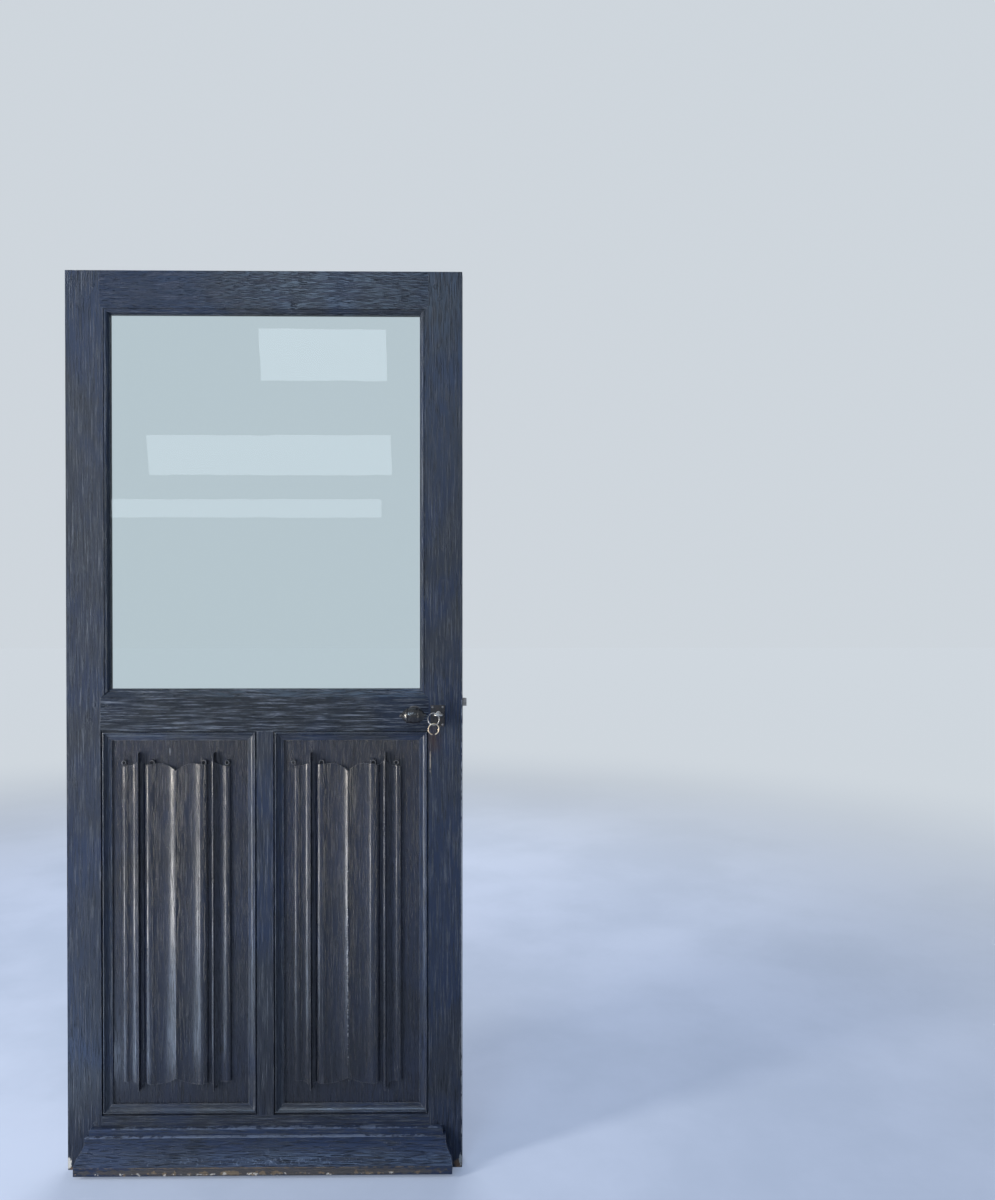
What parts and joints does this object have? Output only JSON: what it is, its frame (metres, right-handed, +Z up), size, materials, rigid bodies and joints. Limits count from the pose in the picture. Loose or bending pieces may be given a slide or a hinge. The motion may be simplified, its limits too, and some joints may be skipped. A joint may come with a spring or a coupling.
{
  "type": "half-glazed linenfold door",
  "caption": "Square-headed dark-painted oak door leaf, glazed above a lock rail, with carved linenfold panels below, a weatherboard, lift-off hinges, a rim lock, olive knobs and a key.",
  "frame": {"origin": "mouth of the lower hinge knuckle's bore, on the hinge pins' axis", "axes": "+Z up along the hinge pins, +X across the leaf from the hinges to the lock, +Y from the outside of the door to the inside"},
  "size_m": [0.9185, 0.1822, 2.05],
  "materials": {
    "painted_oak": "worn satin paint",
    "glass": "clear",
    "black_iron": "satin",
    "knob_black": "gloss",
    "plate_iron": "worn",
    "bolt_steel": "satin",
    "screw_steel": "satin",
    "key_steel": "worn",
    "ring_steel": "satin",
    "ring_brass": "dull"
  },
  "bodies": {
    "leaf": {"bottom_rail": "painted_oak", "frame_pegs": "painted_oak", "glass_pane": "glass", "glazing_bead_foot": "painted_oak", "glazing_bead_head": "painted_oak", "glazing_bead_hinge_edge": "painted_oak", "glazing_bead_lock_edge": "painted_oak", "hinge_screws": "screw_steel", "hinge_side_moulding_foot": "painted_oak", "hinge_side_moulding_head": "painted_oak", "hinge_side_moulding_hinge_edge": "painted_oak", "hinge_side_moulding_lock_edge": "painted_oak", "hinge_side_panel": "painted_oak", "hinge_stile": "painted_oak", "keyhole_plate": "plate_iron", "keyhole_plate_screws": "plate_iron", "knob_rose": "black_iron", "lock_case": "black_iron", "lock_case_screws": "screw_steel", "lock_rail": "painted_oak", "lock_side_moulding_foot": "painted_oak", "lock_side_moulding_head": "painted_oak", "lock_side_moulding_hinge_edge": "painted_oak", "lock_side_moulding_lock_edge": "painted_oak", "lock_side_panel": "painted_oak", "lock_stile": "painted_oak", "lower_hinge": "black_iron", "middle_hinge": "black_iron", "muntin": "painted_oak", "top_rail": "painted_oak", "upper_hinge": "black_iron", "weatherboard": "painted_oak", "weatherboard_screws": "screw_steel"},
    "knob": {"outer_knob": "knob_black", "inner_knob": "knob_black", "spindle": "bolt_steel", "follower": "bolt_steel", "knob_pins": "bolt_steel"},
    "latch": {"latch_bolt": "bolt_steel"},
    "deadbolt": {"dead_bolt": "bolt_steel"},
    "key": {"key": "key_steel"},
    "steel_ring": {"key_ring_steel": "ring_steel"},
    "brass_ring": {"key_ring_brass": "ring_brass"}
  },
  "joints": [
    {"name": "knob_turn", "type": "hinge", "parent": "leaf", "child": "knob", "pos_m": [0.7925, -0.0523, 0.804], "axis": [0, -1, 0], "range_deg": [0, 40], "stiffness_Nm_per_rad": 0.6},
    {"name": "latch_slide", "type": "slide", "parent": "leaf", "child": "latch", "axis": [-1, 0, 0], "range_m": [0, 0.0101]},
    {"name": "key_turn", "type": "hinge", "parent": "leaf", "child": "key", "pos_m": [0.8475, -0.0523, 0.804], "axis": [0, -1, 0], "range_deg": [0, 180]},
    {"name": "deadbolt_slide", "type": "slide", "parent": "leaf", "child": "deadbolt", "axis": [1, 0, 0], "range_m": [0, 0.015]},
    {"name": "steel_ring_swing", "type": "hinge", "parent": "key", "child": "steel_ring", "pos_m": [0.8378, -0.0822, 0.804], "axis": [0, -1, 0], "range_deg": [-180, 0]},
    {"name": "brass_ring_swing", "type": "hinge", "parent": "steel_ring", "child": "brass_ring", "pos_m": [0.8378, -0.0822, 0.78095], "axis": [0.9703, -0.2419, 0], "range_deg": [-20, 20]}
  ],
  "couplings": [
    {"joint": "latch_slide", "follows": "knob_turn", "m_per_rad": 0.014324},
    {"joint": "key_turn", "follows": "deadbolt_slide", "rad_per_m": 209.43},
    {"joint": "steel_ring_swing", "follows": "deadbolt_slide", "rad_per_m": -209.43}
  ]
}
